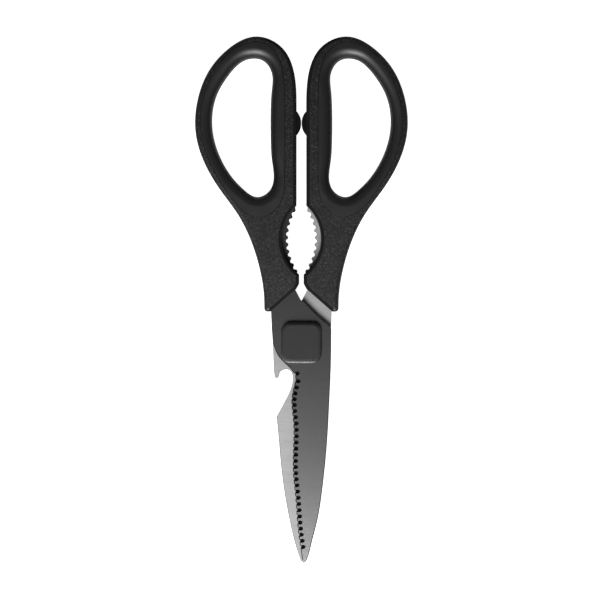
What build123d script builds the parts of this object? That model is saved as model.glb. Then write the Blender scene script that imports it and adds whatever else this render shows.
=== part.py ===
from build123d import *
import os
from math import cos, degrees, radians, sin

# Kitchen shears lying flat, blades closed. Millimetres.
# The pivot axis is the Z axis, the handles point along +Y, the blades along -Y,
# and the surface that the shears lie on is Z = 0.

# Main sizes
handle_thickness = 12.6
loop_reach = 131.5
loop_half_span = 45.7
blade_reach = 94.8
blade_half_width = 13.2
blade_thickness = 2.4
blade_gap = 0.1
parting_height = handle_thickness / 2
front_blade_back = parting_height + blade_gap / 2
front_blade_face = front_blade_back + blade_thickness
rear_blade_face = parting_height - blade_gap / 2
rear_blade_back = rear_blade_face - blade_thickness
unit_speed = [1, 1]
loop_bottom_share = 0.4106
throat_share = 0.17475


def spread(shares, width, reach):
    """Turns outline shares into points of the given half width and reach."""
    return [(x * width, y * reach) for x, y in shares]


def headings(shares, width, reach):
    """Turns outline shares into unit directions, for the ends of a curve."""
    return [Vector(x * width, y * reach).normalized() for x, y in shares]


# The right half of the shears is the left half turned over about the Y axis.
turned_over = Location((0, 0, handle_thickness), (0, 180, 0))

# Tang: the flat steel inside the handle, with the jaw teeth on its inner side
tang_wall = 4.0
tang_width_share = 0.473
tang_width = tang_width_share * loop_half_span - tang_wall
tang_beside_loop = 6.5
tang_reach = loop_bottom_share * loop_reach + tang_beside_loop
tang_outer_shares = [(-0.744, 0.2235), (-0.812, 0.505), (-1.0, 0.7435)]
tang_outer_end_shares = [(0, 1), (-0.69, 1)]
tang_top_shares = [(-1.0, 0.7435), (-0.977, 0.823), (-0.739, 0.863), (-0.483, 0.932), (-0.33, 1.0),
                   (-0.145, 1.0)]
tang_top_round = 1.2
heel_height = 6.0
throat_height = throat_share * loop_reach
neck_shares = [(-0.966, 0), (0.97, 0)]
crotch_shares = [(-0.208, 1.0), (-0.015, 0.7173), (0.08, 0.668)]
heel_shares = [(0.08, 0.668), (0.371, 0.424), (0.674, 0.206), (0.895, 0.0647), (0.97, 0)]
tooth_tip_radius = 24.7
tooth_depth = 0.95
tooth_pitch = 2.97
tooth_count = 10
jaw_half_width = 5.7
tang_over_jaw = 16.1
jaw_offset = tooth_tip_radius - jaw_half_width
jaw_height = tang_reach - tang_over_jaw
jaw_turn = 181.6


def jaw_point(angle, radius):
    """A point on the jaw's circle, which is centred across the middle line."""
    return (jaw_offset + radius * cos(radians(angle)), jaw_height + radius * sin(radians(angle)))


def above_heel(shares):
    """Turns outline shares into points between the blade's heel and the throat of the handles."""
    rise = throat_height - heel_height
    return [(x * blade_half_width, heel_height + y * rise) for x, y in shares]


tooth_angle = degrees(tooth_pitch / tooth_tip_radius)
tooth_root_radius = tooth_tip_radius + tooth_depth
tooth_middle_radius = tooth_tip_radius + tooth_depth / 2
first_tooth = jaw_turn - tooth_angle * (tooth_count - 1) / 2

outer = spread(tang_outer_shares, tang_width, tang_reach)
outer_ends = headings(tang_outer_end_shares, tang_width, tang_reach)
top = spread(tang_top_shares, tang_width, tang_reach)
neck = above_heel(neck_shares)
crotch = above_heel(crotch_shares)
heel = above_heel(heel_shares)

with BuildPart() as tang:
    with BuildSketch(Plane.XY.offset(front_blade_back)):
        with BuildLine():
            Line(neck[0], outer[0])
            Spline(*outer, tangents=outer_ends, tangent_scalars=unit_speed)
            FilletPolyline(*top, radius=tang_top_round)
            start = jaw_point(first_tooth - tooth_angle / 4, tooth_middle_radius)
            Line(top[-1], start)
            for i in range(tooth_count):
                tip = first_tooth + i * tooth_angle
                before = jaw_point(tip - tooth_angle / 4, tooth_middle_radius)
                after = jaw_point(tip + tooth_angle / 4, tooth_middle_radius)
                ThreePointArc(before, jaw_point(tip, tooth_tip_radius), after)
                if i < tooth_count - 1:
                    following = jaw_point(tip + 3 * tooth_angle / 4, tooth_middle_radius)
                    ThreePointArc(after, jaw_point(tip + tooth_angle / 2, tooth_root_radius), following)
            Line(after, crotch[0])
            Polyline(*crotch)
            Spline(*heel)
            Line(neck[1], neck[0])
        make_face()
    extrude(amount=blade_thickness)

# Front blade: on top, cutting edge on the left, scalloped by a row of fine serrations
bolt_diameter = 5.0
bolt_neck_step = 0.3
bolt_neck_width = bolt_diameter + 2 * bolt_neck_step
bolt_neck_round = 0.5
running_clearance = 0.05
diagonal_share = 1.4142
spine_break = 0.35
edge_grind_width = 0.4
edge_grind_depth = 1.9
front_spine_shares = [(0.97, 0.0295), (0.958, -0.107), (0.909, -0.266), (0.826, -0.469),
                      (0.674, -0.674), (0.515, -0.81), (0.311, -0.923), (0.145, -0.994)]
front_tip_shares = [(0.145, -0.994), (0.083, -1.0), (0.03, -0.988)]
front_edge_shares = [(0.03, -0.988), (-0.11, -0.856), (-0.2, -0.7), (-0.27, -0.6), (-0.258, -0.44),
                     (-0.258, -0.383), (-0.303, -0.315), (-0.325, -0.272), (-0.235, -0.194), (-0.195, -0.162),
                     (-0.371, -0.117), (-0.742, -0.064), (-0.924, -0.005)]
front_spine_end_shares = [(0, -1), (-4.5, -1)]
front_edge_end_shares = [(-1.08, 1), (-2.15, 1)]
serrated_share = 0.81
serration_pitch = 2.67
serration_radius = 0.88
serration_inset = 1.2
serration_runout = 0.72
serration_margin = 5.6

spine = spread(front_spine_shares, blade_half_width, blade_reach)
tip_round = spread(front_tip_shares, blade_half_width, blade_reach)
edge = spread(front_edge_shares, blade_half_width, blade_reach)
spine_ends = headings(front_spine_end_shares, blade_half_width, blade_reach)
edge_ends = headings(front_edge_end_shares, blade_half_width, blade_reach)

with BuildPart() as front_blade:
    with BuildSketch(Plane.XY.offset(front_blade_back)):
        with BuildLine():
            Line(neck[1], spine[0])
            Spline(*spine, tangents=spine_ends, tangent_scalars=unit_speed)
            ThreePointArc(*tip_round)
            cutting_edge = Spline(*edge, tangents=edge_ends, tangent_scalars=unit_speed)
            Line(edge[-1], neck[0])
            Line(neck[0], neck[1])
        make_face()
    extrude(amount=blade_thickness)
    face = front_blade.faces().sort_by(Axis.Z)[-1]
    chamfer(face.edges().filter_by(GeomType.BSPLINE).sort_by(Axis.X)[-1], length=spine_break)
    face = front_blade.faces().sort_by(Axis.Z)[-1]
    ground = face.edges().filter_by(GeomType.BSPLINE).sort_by(Axis.X)[0]
    chamfer(ground, length=edge_grind_width, length2=edge_grind_depth, reference=face)
    add(tang.part)
    with BuildSketch(Plane.XY.offset(front_blade_back)):
        RectangleRounded(bolt_neck_width, bolt_neck_width, bolt_neck_round)
    extrude(amount=blade_thickness, mode=Mode.SUBTRACT)
    scallops = []
    serration_count = int(serrated_share * cutting_edge.length / serration_pitch)
    for i in range(serration_count):
        along = (serration_margin + i * serration_pitch) / cutting_edge.length
        place = cutting_edge.position_at(along)
        run = cutting_edge.tangent_at(along)
        inward = Vector(run.Y, -run.X, 0)
        middle = Vector(place.X, place.Y, front_blade_back + blade_thickness / 2)
        lean = inward * (serration_inset + serration_runout) + Vector(0, 0, blade_thickness)
        scallops.append(Plane(origin=middle + inward * (serration_inset - serration_runout) / 2, z_dir=lean))
    with Locations(*scallops):
        Cylinder(serration_radius, 2 * blade_thickness, mode=Mode.SUBTRACT)

# Rear blade: underneath, with a bottle opener hook and notch in its left side
washer_diameter = 12.0
washer_recess = 0.4
rear_side_shares = [(-0.938, 0.0), (-0.902, -0.13), (-0.882, -0.150)]
hook_tip_shares = [(-0.882, -0.150), (-0.808, -0.1625), (-0.728, -0.152), (-0.697, -0.1371)]
notch_shares = [(-0.697, -0.1371), (-0.606, -0.1266), (-0.5, -0.1224), (-0.348, -0.1319), (-0.284, -0.16),
                (-0.333, -0.2057), (-0.53, -0.2658), (-0.807, -0.3354)]
rear_spine_shares = [(-0.807, -0.3354), (-0.765, -0.4019), (-0.682, -0.538), (-0.561, -0.674),
                     (-0.386, -0.81), (-0.235, -0.9008), (-0.083, -0.9684), (-0.04, -0.986)]
rear_tip_shares = [(-0.04, -0.986), (0.027, -0.996), (0.076, -0.985)]
rear_edge_shares = [(0.076, -0.985), (0.114, -0.8555), (0.197, -0.696), (0.258, -0.527), (0.258, -0.38),
                    (0.242, -0.253), (0.371, -0.117), (0.742, -0.064), (0.924, -0.005)]
notch_end_shares = [(2.87, 1), (-4.31, -1)]
rear_spine_end_shares = [(0.36, -1), (1.8, -1)]
rear_edge_end_shares = [(0.36, 1), (2.15, 1)]

rear_neck = [(-neck[1][0], heel_height), (-neck[0][0], heel_height)]
side = [rear_neck[0]] + spread(rear_side_shares, blade_half_width, blade_reach)
hook = spread(hook_tip_shares, blade_half_width, blade_reach)
notch = spread(notch_shares, blade_half_width, blade_reach)
rear_spine = spread(rear_spine_shares, blade_half_width, blade_reach)
rear_tip = spread(rear_tip_shares, blade_half_width, blade_reach)
rear_edge = spread(rear_edge_shares, blade_half_width, blade_reach)
notch_ends = headings(notch_end_shares, blade_half_width, blade_reach)
rear_spine_ends = headings(rear_spine_end_shares, blade_half_width, blade_reach)
rear_edge_ends = headings(rear_edge_end_shares, blade_half_width, blade_reach)

with BuildPart() as rear_blade:
    with BuildSketch(Plane.XY.offset(rear_blade_back)):
        with BuildLine():
            Polyline(*side)
            ThreePointArc(*hook[:3])
            Line(hook[2], hook[3])
            Spline(*notch, tangents=notch_ends, tangent_scalars=unit_speed)
            Spline(*rear_spine, tangents=rear_spine_ends, tangent_scalars=unit_speed)
            ThreePointArc(*rear_tip)
            Spline(*rear_edge, tangents=rear_edge_ends, tangent_scalars=unit_speed)
            Line(rear_edge[-1], rear_neck[1])
            Line(rear_neck[1], rear_neck[0])
        make_face()
    extrude(amount=blade_thickness)
    face = rear_blade.faces().sort_by(Axis.Z)[-1]
    chamfer(face.edges().filter_by(GeomType.BSPLINE).sort_by(Axis.X)[0], length=spine_break)
    back = rear_blade.faces().sort_by(Axis.Z)[0]
    ground = back.edges().filter_by(GeomType.BSPLINE).sort_by(Axis.X)[-1]
    chamfer(ground, length=edge_grind_width, length2=edge_grind_depth, reference=back)
    with Locations(turned_over):
        add(tang.part)
    with Locations((0, 0, rear_blade_face)):
        CounterBoreHole(bolt_diameter / 2 + running_clearance, washer_diameter / 2, washer_recess)

# Handles: a front and a back shell closed round the tang, and a soft liner inside the finger loop
shell_round_share = 0.0372
shell_edge_round = shell_round_share * loop_half_span
loop_outline_shares = [(-0.046, 0.785), (-0.068, 0.881), (-0.175, 0.961), (-0.427, 1.0), (-0.683, 0.961),
                       (-0.873, 0.886), (-0.980, 0.787), (-0.996, 0.688), (-0.914, 0.588), (-0.765, 0.499),
                       (-0.602, 0.4205), (-0.481, 0.338), (-0.400, 0.251), (-0.350, 0.1262)]
loop_outline_end_shares = [(0, 1), (0, -1)]
base_outline_shares = [(-0.350, 0.1262), (-0.350, 0.1008), (-0.291, 0.1008), (-0.0514, 0.1741),
                       (-0.0208, 0.1924), (-0.0208, 0.2243), (-0.046, 0.4563), (-0.046, 0.785)]
base_corner_rounds = [1.5, 1.5, 1.5, 1.5, 1.5, 3.0]
hole_shares = [(-0.449, 0.9308), (-0.320, 0.911), (-0.2735, 0.872), (-0.2795, 0.8255), (-0.2888, 0.7734),
               (-0.2888, 0.6548), (-0.2786, 0.597), (-0.2604, 0.5376), (-0.2954, 0.4989), (-0.418, 0.476),
               (-0.5383, 0.4989), (-0.6455, 0.5376), (-0.7527, 0.597), (-0.8293, 0.6753),
               (-0.8425, 0.7224), (-0.7943, 0.8129), (-0.6958, 0.8715), (-0.5952, 0.911)]
parting_shares = [(-0.4267, 0.9829), (-0.6565, 0.9521), (-0.8337, 0.8768), (-0.9344, 0.7833),
                  (-0.9464, 0.692), (-0.8687, 0.5947), (-0.7221, 0.5019), (-0.5733, 0.4365),
                  (-0.3676, loop_bottom_share), (-0.2079, 0.4479), (-0.1554, 0.5323), (-0.1532, 0.6388),
                  (-0.1532, 0.7452), (-0.1597, 0.8479), (-0.2319, 0.9414)]
liner_wall_share = 0.104
liner_roll_share = 0.905
liner_edge_break = 0.25
flange_reach = 0.9
flange_height = 3.0
flange_root = 2.0
flange_points = 24
jaw_lip = 2.75
jaw_cut_lift = 0.2
jaw_cut_radius = 19.5
jaw_edge_round = 1.6
jaw_cut_offset = jaw_cut_radius - jaw_half_width - jaw_lip
jaw_cut_height = jaw_height + jaw_cut_lift

loop_outline = spread(loop_outline_shares, loop_half_span, loop_reach)
base_outline = spread(base_outline_shares, loop_half_span, loop_reach)
hole = spread(hole_shares, loop_half_span, loop_reach)
parting = spread(parting_shares, loop_half_span, loop_reach)
loop_outline_ends = headings(loop_outline_end_shares, loop_half_span, loop_reach)
liner_roll = liner_roll_share * liner_wall_share * loop_half_span

parting_line = Spline(*parting, periodic=True)


def beside_parting(distance):
    """Points round the parting line, moved outwards by a distance."""
    places = []
    for i in range(flange_points):
        run = parting_line.tangent_at(i / flange_points)
        places.append(parting_line.position_at(i / flange_points) + Vector(run.Y, -run.X, 0) * distance)
    return places


with BuildPart() as left_loop_liner:
    with BuildSketch():
        with BuildLine():
            Spline(*parting, periodic=True)
        make_face()
        with BuildLine():
            Spline(*hole, periodic=True)
        make_face(mode=Mode.SUBTRACT)
    extrude(amount=handle_thickness)
    flat_faces = left_loop_liner.faces().filter_by(Plane.XY)
    hole_edges = [f.inner_wires()[0].edges() for f in flat_faces]
    fillet([e for edges in hole_edges for e in edges], radius=liner_roll)
    flat_faces = left_loop_liner.faces().filter_by(Plane.XY)
    rims = [f.outer_wire().edges() for f in flat_faces]
    chamfer([e for edges in rims for e in edges], length=liner_edge_break)
    with BuildSketch(Plane.XY.offset(parting_height - flange_height / 2)):
        with BuildLine():
            Spline(*beside_parting(flange_reach), periodic=True)
        make_face()
        with BuildLine():
            Spline(*beside_parting(-flange_root), periodic=True)
        make_face(mode=Mode.SUBTRACT)
    extrude(amount=flange_height)

with BuildPart() as loop_space:
    with BuildSketch():
        with BuildLine():
            Spline(*parting, periodic=True)
        make_face()
    extrude(amount=handle_thickness)
    with BuildSketch(Plane.XY.offset(parting_height - flange_height / 2)):
        with BuildLine():
            Spline(*beside_parting(flange_reach), periodic=True)
        make_face()
    extrude(amount=flange_height)

with BuildPart() as jaw_cut:
    with BuildSketch(Plane.XZ):
        with BuildLine():
            reach = jaw_cut_radius + jaw_edge_round
            wall_foot = (jaw_cut_radius, jaw_edge_round)
            wall_head = (jaw_cut_radius, handle_thickness - jaw_edge_round)
            Polyline((0, 0), (reach, 0))
            RadiusArc((reach, 0), wall_foot, jaw_edge_round)
            Line(wall_foot, wall_head)
            RadiusArc(wall_head, (reach, handle_thickness), jaw_edge_round)
            Polyline((reach, handle_thickness), (0, handle_thickness), (0, 0))
        make_face()
    revolve(axis=Axis.Z)

with BuildPart() as shell_form:
    with BuildSketch(Plane.XY.offset(parting_height)):
        with BuildLine():
            Spline(*loop_outline, tangents=loop_outline_ends, tangent_scalars=unit_speed)
            FilletPolyline(*base_outline, radius=base_corner_rounds)
        make_face()
    extrude(amount=handle_thickness - parting_height)
    fillet(shell_form.edges().group_by(Axis.Z)[-1], radius=shell_edge_round)
    with Locations((jaw_cut_offset, jaw_cut_height, 0)):
        add(jaw_cut.part, mode=Mode.SUBTRACT)


# Stop bumpers: rubber pads let into the inner sides of the handles, which meet when the blades are closed
bumper_radius = 7.24
shoulder_share = 0.785
bumper_drop = 8.8
bumper_height = shoulder_share * loop_reach - bumper_drop
bumper_clearance = 0.1
bumper_depth = 3.6
bumper_cover = 1.6
bumper_thickness = handle_thickness - 2 * bumper_cover
bumper_edge_round = 0.6

with BuildPart() as left_stop_bumper:
    with BuildSketch(Plane.XY.offset(parting_height - bumper_thickness / 2)):
        with Locations((-bumper_clearance - bumper_radius, bumper_height)):
            Circle(bumper_radius)
        with Locations((-bumper_clearance - bumper_depth, bumper_height)):
            across = 2 * bumper_radius
            Rectangle(across, across, align=(Align.MAX, Align.CENTER), mode=Mode.SUBTRACT)
    extrude(amount=bumper_thickness)
    flat_faces = left_stop_bumper.faces().filter_by(Plane.XY)
    fillet(flat_faces.edges().filter_by(GeomType.CIRCLE), radius=bumper_edge_round)

# Tang pins: steel dowels through the tang, blind in both shells
pin_diameter = 3.0
pin_cover = 1.8
pin_end_break = 0.3
pin_shares = [(-0.545, 0.4066), (-0.716, 0.752)]
lower_pin, upper_pin = spread(pin_shares, tang_width, tang_reach)


def dowel(place):
    """A dowel pin that stands across the handle at the given place."""
    with BuildPart() as pin:
        with Locations((place[0], place[1], parting_height)):
            Cylinder(pin_diameter / 2, handle_thickness - 2 * pin_cover)
        chamfer(pin.edges().filter_by(GeomType.CIRCLE), length=pin_end_break)
    return pin.part


left_lower_tang_pin = dowel(lower_pin)
left_upper_tang_pin = dowel(upper_pin)
left_pins = [left_lower_tang_pin, left_upper_tang_pin]

with BuildPart() as pinned_front_blade:
    add(front_blade.part)
    add(left_pins, mode=Mode.SUBTRACT)

with BuildPart() as pinned_rear_blade:
    add(rear_blade.part)
    with Locations(turned_over):
        add(left_pins, mode=Mode.SUBTRACT)

# What each pair of shells closes round, as seen on the left handle
left_inside = [front_blade.part, loop_space.part, left_stop_bumper.part] + left_pins

with BuildPart() as left_handle_front_shell:
    add(shell_form.part)
    add(left_inside, mode=Mode.SUBTRACT)

with BuildPart() as left_handle_back_shell:
    add(mirror(shell_form.part, about=Plane.XY.offset(parting_height), mode=Mode.PRIVATE))
    add(left_inside, mode=Mode.SUBTRACT)

# Pivot: the bolt is keyed in the front blade and turns in the rear blade under a nut
bolt_head_diameter = 10.0
bolt_head_height = 1.7
flat_washer_thickness = 0.5
flat_washer_diameter = 11.0
spring_washer_thickness = 0.45
spring_washer_height = 0.65
spring_washer_diameter = 9.6
nut_across_flats = 8.0
nut_gap = 0.25
bore_clearance = 0.1
running_gap = 0.02
rear_cap_floor = 0.7

pivot_washer_back = rear_blade_face - washer_recess
flat_washer_back = rear_blade_back - flat_washer_thickness
spring_washer_back = flat_washer_back - spring_washer_height
bolt_end = rear_cap_floor + nut_gap

with BuildPart() as pivot_bolt:
    with BuildSketch(Plane.XY.offset(bolt_end)):
        Circle(bolt_diameter / 2)
    extrude(amount=front_blade_back - bolt_end)
    with BuildSketch(Plane.XY.offset(front_blade_back)):
        RectangleRounded(bolt_neck_width, bolt_neck_width, bolt_neck_round)
    extrude(amount=blade_thickness)
    with BuildSketch(Plane.XY.offset(front_blade_face)):
        Circle(bolt_head_diameter / 2)
    extrude(amount=bolt_head_height)

with BuildPart() as pivot_washer:
    with BuildSketch(Plane.XY.offset(pivot_washer_back)):
        Circle(washer_diameter / 2)
        Circle(bolt_neck_width * diagonal_share / 2 + bore_clearance, mode=Mode.SUBTRACT)
    extrude(amount=front_blade_back - running_gap - pivot_washer_back)

with BuildPart() as flat_washer:
    with BuildSketch(Plane.XY.offset(flat_washer_back)):
        Circle(flat_washer_diameter / 2)
        Circle(bolt_diameter / 2 + bore_clearance, mode=Mode.SUBTRACT)
    extrude(amount=flat_washer_thickness)

with BuildPart() as spring_washer:
    with BuildSketch(Plane.XZ):
        with BuildLine():
            inner = bolt_diameter / 2 + bore_clearance
            outer_edge = spring_washer_diameter / 2
            rise = spring_washer_height - spring_washer_thickness
            Polyline((inner, spring_washer_back), (outer_edge, spring_washer_back + rise),
                     (outer_edge, flat_washer_back), (inner, flat_washer_back - rise), close=True)
        make_face()
    revolve(axis=Axis.Z)

with BuildPart() as pivot_nut:
    with BuildSketch(Plane.XY.offset(bolt_end)):
        RegularPolygon(nut_across_flats / 2, 6, major_radius=False)
        Circle(bolt_diameter / 2, mode=Mode.SUBTRACT)
    extrude(amount=spring_washer_back - bolt_end)

# Caps over the ends of the pivot
front_cap_width = 17.6
front_cap_height = 2.5
front_cap_corner = 4.1
front_cap_slope = 14.0
front_cap_edge_round = 0.4
panel_inset = 1.15
panel_width = front_cap_width - 2 * panel_inset
panel_corner = front_cap_corner - panel_inset
panel_height = 0.35
panel_edge_round = 0.25
rear_cap_wall = 2.0
washer_room = 1.0
rear_cap_cavity = flat_washer_diameter + 2 * washer_room
rear_cap_diameter = rear_cap_cavity + 2 * rear_cap_wall
rear_cap_edge_break = 0.5

with BuildPart() as front_cap:
    with BuildSketch(Plane.XY.offset(front_blade_face)):
        RectangleRounded(front_cap_width, front_cap_width, front_cap_corner)
    extrude(amount=front_cap_height, taper=front_cap_slope)
    fillet(front_cap.edges().group_by(Axis.Z)[-1], radius=front_cap_edge_round)
    with BuildSketch(Plane.XY.offset(front_blade_face + front_cap_height)):
        RectangleRounded(panel_width, panel_width, panel_corner)
    extrude(amount=panel_height)
    fillet(front_cap.edges().group_by(Axis.Z)[-1], radius=panel_edge_round)
    with BuildSketch(Plane.XY.offset(front_blade_face)):
        Circle(bolt_head_diameter / 2)
    extrude(amount=bolt_head_height, mode=Mode.SUBTRACT)

with BuildPart() as rear_cap:
    with BuildSketch():
        Circle(rear_cap_diameter / 2)
    extrude(amount=rear_blade_back)
    chamfer(rear_cap.edges().group_by(Axis.Z)[0], length=rear_cap_edge_break)
    with BuildSketch(Plane.XY.offset(rear_cap_floor)):
        Circle(rear_cap_cavity / 2)
    extrude(amount=rear_blade_back - rear_cap_floor, mode=Mode.SUBTRACT)


def other_side(piece):
    """The same piece on the right handle, which is the left one turned over."""
    with BuildPart() as turned:
        with Locations(turned_over):
            add(piece)
    return turned.part


pieces = {
    "rear_blade": pinned_rear_blade.part,
    "right_handle_front_shell": other_side(left_handle_back_shell.part),
    "right_handle_back_shell": other_side(left_handle_front_shell.part),
    "right_loop_liner": other_side(left_loop_liner.part),
    "right_stop_bumper": other_side(left_stop_bumper.part),
    "right_lower_tang_pin": other_side(left_lower_tang_pin),
    "right_upper_tang_pin": other_side(left_upper_tang_pin),
    "pivot_washer": pivot_washer.part,
    "rear_cap": rear_cap.part,
    "front_blade": pinned_front_blade.part,
    "left_handle_front_shell": left_handle_front_shell.part,
    "left_handle_back_shell": left_handle_back_shell.part,
    "left_loop_liner": left_loop_liner.part,
    "left_stop_bumper": left_stop_bumper.part,
    "left_lower_tang_pin": left_lower_tang_pin,
    "left_upper_tang_pin": left_upper_tang_pin,
    "pivot_bolt": pivot_bolt.part,
    "flat_washer": flat_washer.part,
    "spring_washer": spring_washer.part,
    "pivot_nut": pivot_nut.part,
    "front_cap": front_cap.part,
}

os.makedirs("parts", exist_ok=True)
for name, piece in pieces.items():
    piece.label = name
    export_step(piece, f"parts/{name}.step")
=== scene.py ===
"""Kitchen shears lying on a pale table: materials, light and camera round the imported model."""

import logging
from dataclasses import dataclass, field
from enum import Enum
from typing import Dict, List, Sequence, Tuple

import bmesh
import bpy
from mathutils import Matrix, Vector

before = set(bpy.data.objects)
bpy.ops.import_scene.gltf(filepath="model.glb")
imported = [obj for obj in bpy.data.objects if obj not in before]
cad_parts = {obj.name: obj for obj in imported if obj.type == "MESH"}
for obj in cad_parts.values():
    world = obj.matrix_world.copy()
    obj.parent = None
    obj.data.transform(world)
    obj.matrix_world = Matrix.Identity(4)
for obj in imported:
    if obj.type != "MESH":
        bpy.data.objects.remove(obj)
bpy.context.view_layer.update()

log = logging.getLogger("kitchen_shears")

MM = 0.001
Color = Tuple[float, float, float, float]
Place = Tuple[float, float, float]
Socket = bpy.types.NodeSocket


class Direction(Enum):
    """The way that the marks of a finish run, as their turn in radians."""

    ALONG_BLADE = 0.0
    ACROSS_BLADE = 1.5708


def grey(level: float) -> Color:
    """A neutral colour of one linear level."""
    return (level, level, level, 1.0)


WHITE = grey(1.0)


class NodeSheet:
    """A node tree with short ways to add and join nodes."""

    # Where the Mix node keeps its sockets for numbers and for colours
    NUMBER_INPUTS = (2, 3)
    NUMBER_OUTPUT = 0
    COLOR_INPUTS = (6, 7)
    COLOR_OUTPUT = 2

    def __init__(self, tree: bpy.types.NodeTree) -> None:
        """Keeps the tree.

        Args:
            tree: the node tree to fill.
        """
        self.tree = tree

    def add(self, kind: str, **settings: object) -> bpy.types.Node:
        """Adds a node.

        Args:
            kind: the node's type name, without "ShaderNode".
            settings: the node's own properties.

        Returns:
            The new node.
        """
        node = self.tree.nodes.new("ShaderNode" + kind)
        for name, value in settings.items():
            setattr(node, name, value)
        return node

    def put(self, socket: Socket, value: object) -> None:
        """Gives an input socket a value, or joins another socket to it.

        Args:
            socket: the input to feed.
            value: a plain value or an output socket.
        """
        if isinstance(value, bpy.types.NodeSocket):
            self.tree.links.new(value, socket)
        else:
            socket.default_value = value

    def math(self, operation: str, *values: object) -> Socket:
        """A math node's result.

        Args:
            operation: the node's operation.
            values: its inputs, plain or joined.

        Returns:
            The output socket.
        """
        node = self.add("Math", operation=operation)
        for socket, value in zip(node.inputs, values):
            self.put(socket, value)
        return node.outputs[0]

    def remap(
        self, value: Socket, low: object, high: object, to_low: float = 0.0, to_high: float = 1.0
    ) -> Socket:
        """Stretches a value from one range to another, held at the ends.

        Args:
            value: the socket to stretch.
            low: the range's start, plain or joined.
            high: the range's end, plain or joined.
            to_low: the result at the start.
            to_high: the result at the end.

        Returns:
            The output socket.
        """
        node = self.add("MapRange")
        for socket, number in zip(node.inputs, (value, low, high, to_low, to_high)):
            self.put(socket, number)
        return node.outputs[0]

    def blend(self, share: object, first: object, second: object) -> Socket:
        """Mixes two colours.

        Args:
            share: how much of the second colour shows.
            first: the colour at 0.
            second: the colour at 1.

        Returns:
            The output socket.
        """
        node = self.add("Mix", data_type="RGBA")
        self.put(node.inputs[0], share)
        for index, value in zip(self.COLOR_INPUTS, (first, second)):
            self.put(node.inputs[index], value)
        return node.outputs[self.COLOR_OUTPUT]

    def merge(self, share: object, first: object, second: object) -> Socket:
        """Mixes two numbers.

        Args:
            share: how much of the second number counts.
            first: the number at 0.
            second: the number at 1.

        Returns:
            The output socket.
        """
        node = self.add("Mix", data_type="FLOAT")
        self.put(node.inputs[0], share)
        for index, value in zip(self.NUMBER_INPUTS, (first, second)):
            self.put(node.inputs[index], value)
        return node.outputs[self.NUMBER_OUTPUT]

    def noise(self, place: Socket, scale: object, **settings: float) -> Socket:
        """A noise texture's value.

        Args:
            place: where the texture is read.
            scale: its marks per metre, plain or joined.
            settings: its other inputs by name.

        Returns:
            The output socket.
        """
        node = self.add("TexNoise")
        self.put(node.inputs["Vector"], place)
        self.put(node.inputs["Scale"], scale)
        for name, value in settings.items():
            self.put(node.inputs[name], value)
        return node.outputs[0]

    def split(self, vector: Socket) -> Sequence[Socket]:
        """The X, Y and Z sockets of a vector."""
        parts = self.add("SeparateXYZ")
        self.put(parts.inputs[0], vector)
        return parts.outputs

    def place(self) -> Socket:
        """Where a point lies, in the piece's own coordinates."""
        return self.add("TexCoord").outputs["Object"]

    def facing(self, kind: str) -> Sequence[Socket]:
        """The way that the surface faces, along the piece's own axes.

        Args:
            kind: which of the geometry's normals counts.

        Returns:
            The X, Y and Z sockets.
        """
        turned = self.add("VectorTransform", vector_type="NORMAL", convert_from="WORLD", convert_to="OBJECT")
        self.put(turned.inputs[0], self.add("NewGeometry").outputs[kind])
        return self.split(turned.outputs[0])


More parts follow.
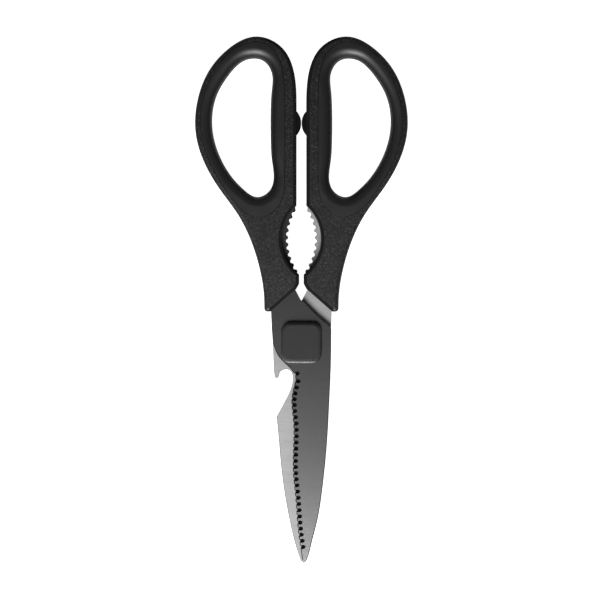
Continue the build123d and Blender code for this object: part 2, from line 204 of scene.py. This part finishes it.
class EffectLibrary:
    """The shader groups that more than one finish uses."""

    # The part of a noise's values that is stretched over its whole range
    NOISE_RANGE = (0.3, 0.7)

    # Moulded grain
    PIT_RANGE = (0.1, 0.75)
    SPECKLE_RANGE = (0.45, 0.8)
    UNEVEN_PER_PIT = 0.7
    UNEVEN_DETAIL = 4.0
    UNEVEN_ROUGHNESS = 0.65

    # Grinding marks and the wider streaks among them
    MARK_DETAIL = 3.0
    STREAKS_PER_MARK = 0.12
    STREAK_DETAIL = 2.0

    # Smears of handling
    SMEAR_RANGE = (0.35, 0.68)
    SMEAR_DETAIL = 3.0
    SMEAR_DISTORTION = 0.6

    def __init__(self) -> None:
        """Builds every group once."""
        self.grain = self._grain()
        self.brushing = self._brushing()
        self.handling = self._handling()
        self.steepness = self._steepness()
        self.gap_shade_painter = self._gap_shade_painter()

    def _group(
        self, name: str, inputs: Dict[str, float], outputs: Sequence[str]
    ) -> Tuple[NodeSheet, Sequence[Socket], Sequence[Socket]]:
        """Starts a group with plain number inputs and outputs.

        Args:
            name: the group's name.
            inputs: each input's name and usual value.
            outputs: each output's name.

        Returns:
            The sheet, the sockets that bring its inputs and the sockets that take its outputs.
        """
        tree = bpy.data.node_groups.new(name, "ShaderNodeTree")
        for label, value in inputs.items():
            socket = tree.interface.new_socket(label, in_out="INPUT", socket_type="NodeSocketFloat")
            socket.default_value = value
        for label in outputs:
            tree.interface.new_socket(label, in_out="OUTPUT", socket_type="NodeSocketFloat")
        given = tree.nodes.new("NodeGroupInput").outputs
        made = tree.nodes.new("NodeGroupOutput").inputs
        return NodeSheet(tree), given, made

    def _grain(self) -> bpy.types.NodeTree:
        """Fine moulded grain: small round pits of uneven size.

        Returns:
            The group, which gives a height and a speckle mask.
        """
        usual = {"Pits per metre": 1500.0, "Unevenness": 0.5}
        sheet, given, made = self._group("moulded_grain", usual, ["Height", "Speckle"])
        place = sheet.place()
        cells = sheet.add("TexVoronoi", feature="F1")
        sheet.put(cells.inputs["Vector"], place)
        sheet.put(cells.inputs["Scale"], given["Pits per metre"])
        noise_scale = sheet.math("MULTIPLY", given["Pits per metre"], self.UNEVEN_PER_PIT)
        noise = sheet.noise(place, noise_scale, Detail=self.UNEVEN_DETAIL, Roughness=self.UNEVEN_ROUGHNESS)
        pits = sheet.remap(cells.outputs["Distance"], *self.PIT_RANGE, 1.0, 0.0)
        height = sheet.merge(given["Unevenness"], pits, sheet.remap(noise, *self.NOISE_RANGE))
        sheet.put(made["Height"], height)
        sheet.put(made["Speckle"], sheet.remap(height, *self.SPECKLE_RANGE))
        return sheet.tree

    def _brushing(self) -> bpy.types.NodeTree:
        """Fine grinding marks that run one way, stretched along Y before the group's own turn.

        Returns:
            The group, which gives the marks as a value and a softer, wider streak.
        """
        usual = {"Marks per metre": 9000.0, "Stretch": 40.0, "Turn": 0.0}
        sheet, given, made = self._group("grinding_marks", usual, ["Marks", "Streaks"])
        turned = sheet.add("VectorRotate", rotation_type="Z_AXIS")
        sheet.put(turned.inputs["Vector"], sheet.place())
        sheet.put(turned.inputs["Angle"], given["Turn"])
        x, y, z = sheet.split(turned.outputs[0])
        shaped = sheet.add("CombineXYZ")
        for socket, value in zip(shaped.inputs, (x, sheet.math("DIVIDE", y, given["Stretch"]), z)):
            sheet.put(socket, value)
        place = shaped.outputs[0]
        marks = sheet.noise(place, given["Marks per metre"], Detail=self.MARK_DETAIL)
        streak_scale = sheet.math("MULTIPLY", given["Marks per metre"], self.STREAKS_PER_MARK)
        streaks = sheet.noise(place, streak_scale, Detail=self.STREAK_DETAIL)
        sheet.put(made["Marks"], sheet.remap(marks, *self.NOISE_RANGE))
        sheet.put(made["Streaks"], sheet.remap(streaks, *self.NOISE_RANGE))
        return sheet.tree

    def _handling(self) -> bpy.types.NodeTree:
        """Soft, wide marks of handling, such as a wiped surface has.

        Returns:
            The group, which gives a smear mask.
        """
        sheet, given, made = self._group("handling_smears", {"Smears per metre": 60.0}, ["Smear"])
        shape = {"Detail": self.SMEAR_DETAIL, "Distortion": self.SMEAR_DISTORTION}
        smears = sheet.noise(sheet.place(), given["Smears per metre"], **shape)
        sheet.put(made["Smear"], sheet.remap(smears, *self.SMEAR_RANGE))
        return sheet.tree

    def _steepness(self) -> bpy.types.NodeTree:
        """How far a face turns away from the flat of the shears, as the ground edges and scallops do.

        Returns:
            The group, which gives a mask that is 0 on the flats and 1 on the steep faces.
        """
        sheet, given, made = self._group("steep_faces", {"Flat from": 0.97, "Steep from": 0.80}, ["Steep"])
        upright = sheet.math("ABSOLUTE", sheet.facing("True Normal")[2])
        sheet.put(made["Steep"], sheet.remap(upright, given["Flat from"], given["Steep from"]))
        return sheet.tree

    def _gap_shade_painter(self) -> bpy.types.NodeTree:
        """A mask for painted shade: how far a face looks towards the middle line, where the two handles
        shade each other.

        Returns:
            The group, which gives a mask that is 1 on the sides that face the gap and the jaw, where shade
            is painted.
        """
        sheet, given, made = self._group("painted_gap_shade", {"Shade from": 0.05, "Shade full": 0.16}, ["Shade"])
        side = sheet.math("SIGN", sheet.split(sheet.place())[0])
        outwards = sheet.math("MULTIPLY", sheet.facing("Normal")[0], side)
        inwards = sheet.math("MULTIPLY", outwards, -1.0)
        sheet.put(made["Shade"], sheet.remap(inwards, given["Shade from"], given["Shade full"]))
        return sheet.tree


def start_material(name: str) -> Tuple[bpy.types.Material, NodeSheet, bpy.types.Node]:
    """Starts a material with its Principled shader.

    Args:
        name: the material's name.

    Returns:
        The material, its node sheet and the shader.
    """
    material = bpy.data.materials.new(name)
    material.use_nodes = True
    material.node_tree.nodes.clear()
    sheet = NodeSheet(material.node_tree)
    shader = sheet.add("BsdfPrincipled")
    target = sheet.add("OutputMaterial")
    sheet.put(target.inputs["Surface"], shader.outputs[0])
    return material, sheet, shader


def place_group(sheet: NodeSheet, tree: bpy.types.NodeTree, values: Dict[str, float]) -> Sequence[Socket]:
    """Puts a shared group into a material.

    Args:
        sheet: the material's sheet.
        tree: the group.
        values: the group's input values by name.

    Returns:
        The group's output sockets.
    """
    node = sheet.add("Group", node_tree=tree)
    for name, value in values.items():
        node.inputs[name].default_value = value
    return node.outputs


def roughen(sheet: NodeSheet, shader: bpy.types.Node, height: Socket, strength: float, depth: float) -> None:
    """Gives a material a bump.

    Args:
        sheet: the material's sheet.
        shader: its Principled shader.
        height: the height that changes over the surface.
        strength: how strong the bump is.
        depth: its depth in metres.
    """
    bump = sheet.add("Bump")
    bump.inputs["Strength"].default_value = strength
    bump.inputs["Distance"].default_value = depth
    sheet.put(bump.inputs["Height"], height)
    sheet.put(shader.inputs["Normal"], bump.outputs[0])


@dataclass(frozen=True)
class BrushedSteel:
    """Stainless steel with fine grinding marks on its flats, and dull steep faces whose colour is painted
    shade.
    """

    name: str
    dark: float
    light: float
    roughness_low: float
    roughness_high: float
    direction: Direction = Direction.ACROSS_BLADE
    marks_per_metre: float = 7000.0
    stretch: float = 30.0
    streak_share: float = 0.5
    smears_per_metre: float = 45.0
    smear_share: float = 0.4
    bump_strength: float = 0.25
    bump_depth: float = 0.00003
    flat_from: float = 0.995
    steep_from: float = 0.95
    painted_edge_shade: float = 0.05
    edge_roughness: float = 0.9
    edge_shine: float = 0.1

    def build(self, effects: EffectLibrary) -> bpy.types.Material:
        """Makes the material.

        Args:
            effects: the shared shader groups.

        Returns:
            The material.
        """
        material, sheet, shader = start_material(self.name)
        turn = self.direction.value
        grind = {"Marks per metre": self.marks_per_metre, "Stretch": self.stretch, "Turn": turn}
        marks, streaks = place_group(sheet, effects.brushing, grind)
        smears = place_group(sheet, effects.handling, {"Smears per metre": self.smears_per_metre})["Smear"]
        limits = {"Flat from": self.flat_from, "Steep from": self.steep_from}
        steep = place_group(sheet, effects.steepness, limits)["Steep"]

        tone = sheet.merge(self.streak_share, marks, streaks)
        flat_color = sheet.blend(tone, grey(self.dark), grey(self.light))
        haze = sheet.merge(self.smear_share, tone, smears)
        flat_roughness = sheet.remap(haze, 0.0, 1.0, self.roughness_low, self.roughness_high)

        # Painted shade: the ground edges and scallop walls take a dark non-metal colour in place of the dark
        # reflection and shadow there.
        sheet.put(shader.inputs["Base Color"], sheet.blend(steep, flat_color, grey(self.painted_edge_shade)))
        sheet.put(shader.inputs["Metallic"], sheet.math("SUBTRACT", 1.0, steep))
        sheet.put(shader.inputs["Roughness"], sheet.merge(steep, flat_roughness, self.edge_roughness))
        shader.inputs["Specular IOR Level"].default_value = self.edge_shine
        roughen(sheet, shader, marks, self.bump_strength, self.bump_depth)
        return material


@dataclass(frozen=True)
class MouldedPlastic:
    """Black moulded plastic or rubber with a fine grain, with painted shade on its gap sides if asked."""

    name: str
    dark: float
    light: float
    roughness_low: float
    roughness_high: float
    pits_per_metre: float
    unevenness: float
    bump_strength: float
    bump_depth: float
    specular: float = 0.5
    smears_per_metre: float = 80.0
    smear_share: float = 0.5
    painted_gap_shade: bool = False
    shade_from: float = 0.05
    shade_full: float = 0.16
    painted_shade_level: float = 0.0005
    gap_roughness: float = 1.0

    def build(self, effects: EffectLibrary) -> bpy.types.Material:
        """Makes the material.

        Args:
            effects: the shared shader groups.

        Returns:
            The material.
        """
        material, sheet, shader = start_material(self.name)
        pitting = {"Pits per metre": self.pits_per_metre, "Unevenness": self.unevenness}
        height, speckle = place_group(sheet, effects.grain, pitting)
        smears = place_group(sheet, effects.handling, {"Smears per metre": self.smears_per_metre})["Smear"]

        color = sheet.blend(speckle, grey(self.dark), grey(self.light))
        haze = sheet.merge(self.smear_share, height, smears)
        roughness = sheet.remap(haze, 0.0, 1.0, self.roughness_low, self.roughness_high)
        if self.painted_gap_shade:
            limits = {"Shade from": self.shade_from, "Shade full": self.shade_full}
            shade = place_group(sheet, effects.gap_shade_painter, limits)["Shade"]
            # Painted shade: the colour goes near black on the sides that face the gap and the jaw.
            color = sheet.blend(shade, color, grey(self.painted_shade_level))
            roughness = sheet.merge(shade, roughness, self.gap_roughness)

        sheet.put(shader.inputs["Base Color"], color)
        sheet.put(shader.inputs["Roughness"], roughness)
        shader.inputs["Specular IOR Level"].default_value = self.specular
        roughen(sheet, shader, height, self.bump_strength, self.bump_depth)
        return material


def dress(names: Sequence[str], material: bpy.types.Material) -> None:
    """Gives CAD nodes a material.

    Args:
        names: the nodes.
        material: their finish.
    """
    for name in names:
        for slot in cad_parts[name].material_slots:
            slot.material = material
        log.info("%s: %s", name, material.name)


@dataclass
class Blades:
    """The two steel blades with their tangs."""

    # The front blade's darker base colour is painted shade and the rear's lighter one painted light; their
    # roughness and marks differ as their grinds do.
    front: BrushedSteel = BrushedSteel(
        "front_blade_steel_painted_shade", dark=0.44, light=0.46, roughness_low=0.264, roughness_high=0.272,
        marks_per_metre=4000.0, bump_strength=0.1, painted_edge_shade=0.004)
    rear: BrushedSteel = BrushedSteel(
        "rear_blade_steel_painted_light", dark=0.61, light=0.72, roughness_low=0.92, roughness_high=1.0,
        marks_per_metre=2600.0, stretch=10.0, painted_edge_shade=0.25)

    def dress(self, effects: EffectLibrary) -> None:
        """Gives each blade its own grind, and a base colour with painted shade on the front blade and
        painted light on the rear one.

        Args:
            effects: the shared shader groups.
        """
        dress(["front_blade"], self.front.build(effects))
        dress(["rear_blade"], self.rear.build(effects))


@dataclass
class Handles:
    """The moulded shells, the soft loop liners, the bumpers and the hidden pins."""

    # The shells carry painted shade on the sides that face the gap and the jaw.
    shell: MouldedPlastic = MouldedPlastic(
        "grained_black_plastic", dark=0.007, light=0.054, roughness_low=0.42, roughness_high=0.52,
        pits_per_metre=1850.0, unevenness=0.6, bump_strength=0.75, bump_depth=0.00009,
        specular=0.6, painted_gap_shade=True)
    liner: MouldedPlastic = MouldedPlastic(
        "soft_black_liner", dark=0.004, light=0.008, roughness_low=0.42, roughness_high=0.50,
        pits_per_metre=3800.0, unevenness=0.7, bump_strength=0.10, bump_depth=0.00003, specular=1.0)
    bumper: MouldedPlastic = MouldedPlastic(
        "black_rubber", dark=0.003, light=0.006, roughness_low=0.5, roughness_high=0.6,
        pits_per_metre=3000.0, unevenness=0.7, bump_strength=0.15, bump_depth=0.00003, specular=0.2)
    pins: BrushedSteel = BrushedSteel(
        "pin_steel", dark=0.4, light=0.55, roughness_low=0.3, roughness_high=0.4,
        direction=Direction.ALONG_BLADE)

    def dress(self, effects: EffectLibrary) -> None:
        """Gives every handle piece its finish.

        Args:
            effects: the shared shader groups.
        """
        hands = ("left", "right")
        shells = [f"{hand}_handle_{side}_shell" for hand in hands for side in ("front", "back")]
        pins = [f"{hand}_{level}_tang_pin" for hand in hands for level in ("lower", "upper")]
        dress(shells, self.shell.build(effects))
        dress([f"{hand}_loop_liner" for hand in hands], self.liner.build(effects))
        dress([f"{hand}_stop_bumper" for hand in hands], self.bumper.build(effects))
        dress(pins, self.pins.build(effects))


@dataclass
class Pivot:
    """The bolt with its washers and nut, and the caps over its ends."""

    cap: MouldedPlastic = MouldedPlastic(
        "satin_dark_cap", dark=0.022, light=0.038, roughness_low=0.42, roughness_high=0.52,
        pits_per_metre=5200.0, unevenness=0.6, bump_strength=0.15, bump_depth=0.00002)
    hardware: BrushedSteel = BrushedSteel(
        "machined_steel", dark=0.42, light=0.58, roughness_low=0.24, roughness_high=0.36,
        direction=Direction.ALONG_BLADE)

    def dress(self, effects: EffectLibrary) -> None:
        """Gives the caps and the bolt's pieces their finish.

        Args:
            effects: the shared shader groups.
        """
        bolted = ["pivot_bolt", "pivot_washer", "flat_washer", "spring_washer", "pivot_nut"]
        dress(["front_cap", "rear_cap"], self.cap.build(effects))
        dress(bolted, self.hardware.build(effects))


@dataclass(frozen=True)
class SoftBox:
    """A rectangular studio light."""

    name: str
    place: Place
    aim: Place
    width: float
    length: float
    power: float

    def build(self) -> None:
        """Makes the light."""
        data = bpy.data.lights.new(self.name, "AREA")
        data.shape = "RECTANGLE"
        data.size = self.width
        data.size_y = self.length
        data.energy = self.power
        light = bpy.data.objects.new(self.name, data)
        light.location = self.place
        light.rotation_mode = "QUATERNION"
        light.rotation_quaternion = (Vector(self.aim) - Vector(self.place)).to_track_quat("-Z", "Y")
        light.visible_camera = False
        bpy.context.scene.collection.objects.link(light)


@dataclass
class Studio:
    """The floor, the light, the surround and the camera."""

    frame_width: float = 258.0 * MM
    frame_centre: Tuple[float, float] = (-0.6 * MM, 18.3 * MM)
    sharp_height: float = 9.5 * MM
    camera_distance: float = 1.4
    sensor_width: float = 36.0
    clip_start: float = 0.05
    clip_end: float = 50.0
    floor_size: float = 12.0
    floor_tone: float = 0.8
    floor_roughness: float = 0.9
    floor_gap: float = 0.05 * MM
    ceiling_glow: float = 0.002
    horizon_glow: float = 0.02
    wall_glow: float = 0.14
    wall_start: float = 0.40
    wall_end: float = 0.82
    ceiling_start: float = 0.95
    lights: List[SoftBox] = field(default_factory=lambda: [
        SoftBox(
            "key_over_tip", place=(-0.07, -0.30, 0.36), aim=(0.0, -0.10, 0.0), width=0.24, length=0.24,
            power=2.7),
    ])

    def build(self) -> None:
        """Makes everything round the shears."""
        self._floor()
        self._surround()
        for light in self.lights:
            light.build()
        self._camera()
        view = bpy.context.scene.view_settings
        view.view_transform = "Standard"
        view.look = "None"

    def _floor(self) -> None:
        """A plain pale floor under the shears, white to the camera and a lit table to the reflections."""
        mesh = bpy.data.meshes.new("floor")
        shape = bmesh.new()
        bmesh.ops.create_grid(shape, x_segments=1, y_segments=1, size=self.floor_size / 2)
        bmesh.ops.translate(shape, verts=shape.verts, vec=(0.0, 0.0, -self.floor_gap))
        shape.to_mesh(mesh)
        shape.free()
        floor = bpy.data.objects.new("floor", mesh)
        bpy.context.scene.collection.objects.link(floor)
        material, sheet, shader = start_material("pale_floor")
        shader.inputs["Base Color"].default_value = grey(self.floor_tone)
        shader.inputs["Roughness"].default_value = self.floor_roughness
        shader.inputs["Emission Color"].default_value = WHITE
        sheet.put(shader.inputs["Emission Strength"], sheet.add("LightPath").outputs["Is Camera Ray"])
        mesh.materials.append(material)

    def _surround(self) -> None:
        """A white surround for the camera; for the reflections a room with grey walls and a dark ceiling."""
        world = bpy.data.worlds.new("studio")
        bpy.context.scene.world = world
        world.use_nodes = True
        world.node_tree.nodes.clear()
        sheet = NodeSheet(world.node_tree)
        height = sheet.split(sheet.add("TexCoord").outputs["Generated"])[2]
        over = sheet.remap(height, self.wall_end, self.ceiling_start, self.wall_glow, self.ceiling_glow)
        under = sheet.remap(height, 0.0, self.wall_start, self.horizon_glow, self.wall_glow)
        room = sheet.add("Background")
        white = sheet.add("Background")
        for background in (room, white):
            background.inputs["Color"].default_value = WHITE
        sheet.put(room.inputs["Strength"], sheet.math("MINIMUM", over, under))
        mixed = sheet.add("MixShader")
        is_camera_ray = sheet.add("LightPath").outputs["Is Camera Ray"]
        for socket, value in zip(mixed.inputs, (is_camera_ray, room.outputs[0], white.outputs[0])):
            sheet.put(socket, value)
        sheet.put(sheet.add("OutputWorld").inputs["Surface"], mixed.outputs[0])

    def _camera(self) -> None:
        """A long lens straight above the shears, as in the photo."""
        data = bpy.data.cameras.new("camera")
        data.sensor_width = self.sensor_width
        data.lens = self.sensor_width * self.camera_distance / self.frame_width
        data.clip_start = self.clip_start
        data.clip_end = self.clip_end
        camera = bpy.data.objects.new("camera", data)
        camera.location = (*self.frame_centre, self.sharp_height + self.camera_distance)
        bpy.context.scene.collection.objects.link(camera)
        bpy.context.scene.camera = camera


def main() -> None:
    """Dresses each sub-assembly in order, then sets up the studio."""
    logging.basicConfig(level=logging.INFO, format="%(name)s: %(message)s")
    effects = EffectLibrary()
    for assembly in (Blades(), Handles(), Pivot()):
        assembly.dress(effects)
        log.info("%s dressed", type(assembly).__name__)
    Studio().build()


if __name__ == "__main__":
    main()
